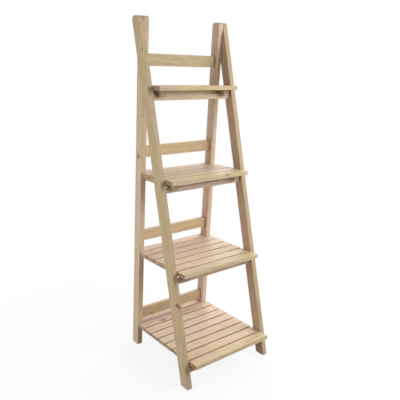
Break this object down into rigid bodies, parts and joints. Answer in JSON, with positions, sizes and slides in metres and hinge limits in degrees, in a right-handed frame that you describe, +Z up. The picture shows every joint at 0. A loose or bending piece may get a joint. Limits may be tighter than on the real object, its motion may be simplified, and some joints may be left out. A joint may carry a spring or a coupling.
{
  "type": "plant ladder stand",
  "caption": "Free-standing folding ladder stand of bare wood with slatted plant shelves that get deeper towards the floor, hinged leg frames and shelves that hook over the front rails.",
  "frame": {"origin": "on the floor, at the middle of the box around the open stand", "axes": "+Z up, the front faces -Y, +X to the right as seen from the front"},
  "size_m": [0.336, 0.3627, 1.076],
  "materials": {
    "leg_wood": "satin",
    "slat_wood": "satin",
    "rail_wood": "satin",
    "bearer_wood": "matte",
    "dowel_wood": "matte"
  },
  "bodies": {
    "rear_frame": {"rear_leg_left": "leg_wood", "rear_leg_right": "leg_wood", "bottom_back_rail": "rail_wood", "lower_back_rail": "rail_wood", "upper_back_rail": "rail_wood", "top_back_rail": "rail_wood", "back_rail_dowels": "dowel_wood", "top_pins": "dowel_wood", "shelf_pins": "dowel_wood"},
    "front_frame": {"front_leg_left": "leg_wood", "front_leg_right": "leg_wood", "bottom_front_rail": "rail_wood", "lower_front_rail": "rail_wood", "upper_front_rail": "rail_wood", "top_front_rail": "rail_wood", "front_rail_dowels": "dowel_wood"},
    "bottom_shelf": {"bottom_slat_1": "slat_wood", "bottom_slat_2": "slat_wood", "bottom_slat_3": "slat_wood", "bottom_slat_4": "slat_wood", "bottom_slat_5": "slat_wood", "bottom_slat_6": "slat_wood", "bottom_slat_7": "slat_wood", "bottom_slat_8": "slat_wood", "bottom_slat_9": "slat_wood", "bottom_bearer_left": "bearer_wood", "bottom_bearer_right": "bearer_wood", "bottom_batten": "bearer_wood"},
    "lower_shelf": {"lower_slat_1": "slat_wood", "lower_slat_2": "slat_wood", "lower_slat_3": "slat_wood", "lower_slat_4": "slat_wood", "lower_slat_5": "slat_wood", "lower_slat_6": "slat_wood", "lower_slat_7": "slat_wood", "lower_bearer_left": "bearer_wood", "lower_bearer_right": "bearer_wood", "lower_batten": "bearer_wood"},
    "upper_shelf": {"upper_slat_1": "slat_wood", "upper_slat_2": "slat_wood", "upper_slat_3": "slat_wood", "upper_slat_4": "slat_wood", "upper_slat_5": "slat_wood", "upper_bearer_left": "bearer_wood", "upper_bearer_right": "bearer_wood", "upper_batten": "bearer_wood"},
    "top_shelf": {"top_slat_1": "slat_wood", "top_slat_2": "slat_wood", "top_slat_3": "slat_wood", "top_bearer_left": "bearer_wood", "top_bearer_right": "bearer_wood", "top_batten": "bearer_wood"}
  },
  "joints": [
    {"name": "fold", "type": "hinge", "parent": "rear_frame", "child": "front_frame", "pos_m": [0, 0.09739, 1.06], "axis": [1, 0, 0], "range_deg": [0, 10]},
    {"name": "bottom_shelf_tilt", "type": "hinge", "parent": "rear_frame", "child": "bottom_shelf", "pos_m": [0, 0.16021, 0.0615], "axis": [1, 0, 0], "range_deg": [0, 8]},
    {"name": "lower_shelf_tilt", "type": "hinge", "parent": "rear_frame", "child": "lower_shelf", "pos_m": [0, 0.14345, 0.328], "axis": [1, 0, 0], "range_deg": [0, 8]},
    {"name": "upper_shelf_tilt", "type": "hinge", "parent": "rear_frame", "child": "upper_shelf", "pos_m": [0, 0.12668, 0.5945], "axis": [1, 0, 0], "range_deg": [0, 8]},
    {"name": "top_shelf_tilt", "type": "hinge", "parent": "rear_frame", "child": "top_shelf", "pos_m": [0, 0.10991, 0.861], "axis": [1, 0, 0], "range_deg": [0, 8]}
  ],
  "couplings": [
    {"joint": "bottom_shelf_tilt", "follows": "fold", "ratio": 0.8},
    {"joint": "lower_shelf_tilt", "follows": "fold", "ratio": 0.8},
    {"joint": "upper_shelf_tilt", "follows": "fold", "ratio": 0.8},
    {"joint": "top_shelf_tilt", "follows": "fold", "ratio": 0.8}
  ]
}
